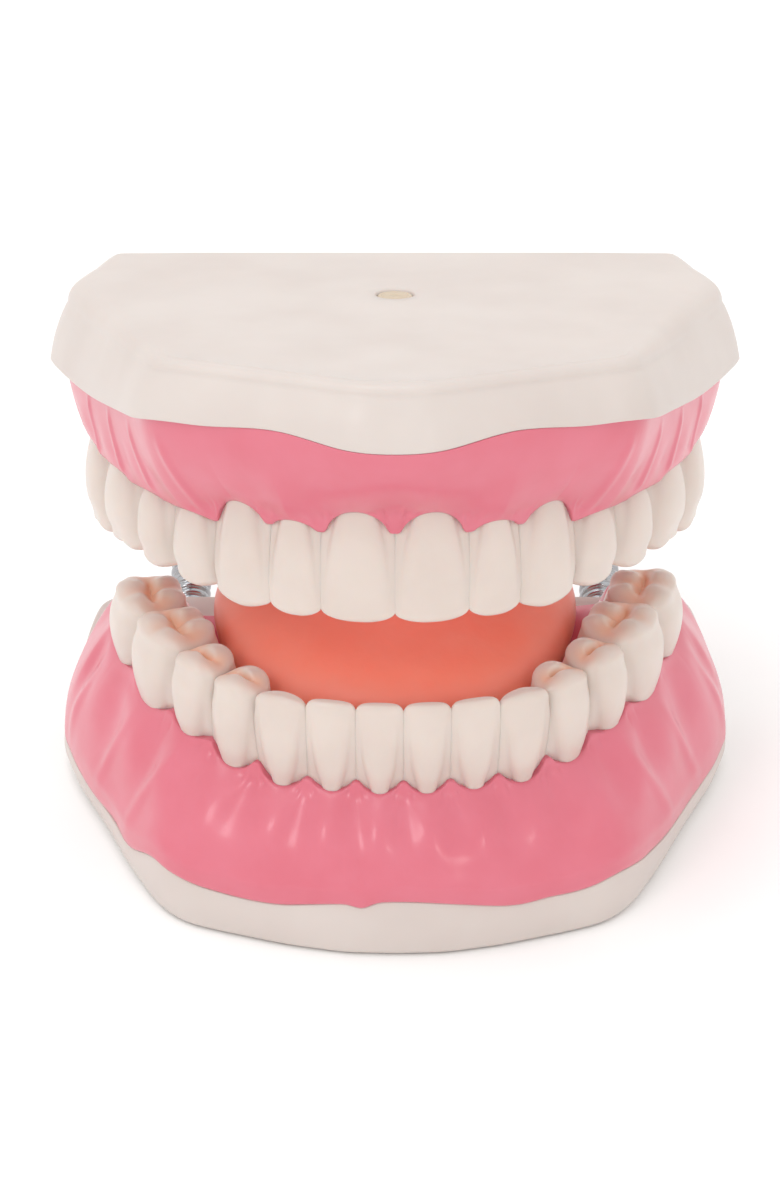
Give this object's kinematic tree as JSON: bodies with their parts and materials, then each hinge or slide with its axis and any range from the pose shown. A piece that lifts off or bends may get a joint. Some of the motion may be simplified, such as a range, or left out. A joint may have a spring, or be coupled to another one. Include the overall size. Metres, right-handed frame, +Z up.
{
  "type": "dental typodont model",
  "caption": "Enlarged dental teaching model: upper and lower jaws with separate teeth, pink gums, ivory bases and a tongue, joined behind by two bendable metal goosenecks.",
  "frame": {"origin": "on the flat underside of the lower base, on the left-right mid plane, 42 mm in front of the rear face", "axes": "+Z up, -Y towards the incisors, +X towards the model's own left side (the viewer's right when facing the incisors)"},
  "size_m": [0.1252, 0.1322, 0.1075],
  "materials": {
    "ivory_resin": "smooth ivory cast resin with a soft satin sheen",
    "tooth_resin": "polished ivory resin, warmer between the teeth",
    "gum_vinyl": "glossy pink soft vinyl",
    "tongue_vinyl": "coral red soft vinyl with a satin sheen",
    "steel": "plain bright steel",
    "gooseneck_metal": "bright close-wound wire",
    "plug_plastic": "beige push-in plug"
  },
  "bodies": {
    "lower_jaw": {"lower_base": "ivory_resin", "lower_gum": "gum_vinyl", "lower_left_central_incisor": "tooth_resin", "lower_left_lateral_incisor": "tooth_resin", "lower_left_canine": "tooth_resin", "lower_left_first_premolar": "tooth_resin", "lower_left_second_premolar": "tooth_resin", "lower_left_first_molar": "tooth_resin", "lower_left_second_molar": "tooth_resin", "lower_right_central_incisor": "tooth_resin", "lower_right_lateral_incisor": "tooth_resin", "lower_right_canine": "tooth_resin", "lower_right_first_premolar": "tooth_resin", "lower_right_second_premolar": "tooth_resin", "lower_right_first_molar": "tooth_resin", "lower_right_second_molar": "tooth_resin", "tongue": "tongue_vinyl", "lower_screw": "steel", "lower_plug": "plug_plastic", "lower_left_ferrule": "steel", "lower_right_ferrule": "steel", "left_gooseneck": "gooseneck_metal", "right_gooseneck": "gooseneck_metal"},
    "upper_jaw": {"upper_base": "ivory_resin", "upper_gum": "gum_vinyl", "upper_left_central_incisor": "tooth_resin", "upper_left_lateral_incisor": "tooth_resin", "upper_left_canine": "tooth_resin", "upper_left_first_premolar": "tooth_resin", "upper_left_second_premolar": "tooth_resin", "upper_left_first_molar": "tooth_resin", "upper_left_second_molar": "tooth_resin", "upper_right_central_incisor": "tooth_resin", "upper_right_lateral_incisor": "tooth_resin", "upper_right_canine": "tooth_resin", "upper_right_first_premolar": "tooth_resin", "upper_right_second_premolar": "tooth_resin", "upper_right_first_molar": "tooth_resin", "upper_right_second_molar": "tooth_resin", "upper_screw": "steel", "upper_plug": "plug_plastic", "upper_left_ferrule": "steel", "upper_right_ferrule": "steel"}
  },
  "joints": [
    {"name": "jaw_hinge", "type": "hinge", "parent": "lower_jaw", "child": "upper_jaw", "pos_m": [0, 0.0625, 0.047], "axis": [-1, 0, 0], "range_deg": [-9.8, 40], "deforming": ["left_gooseneck", "right_gooseneck"]}
  ]
}
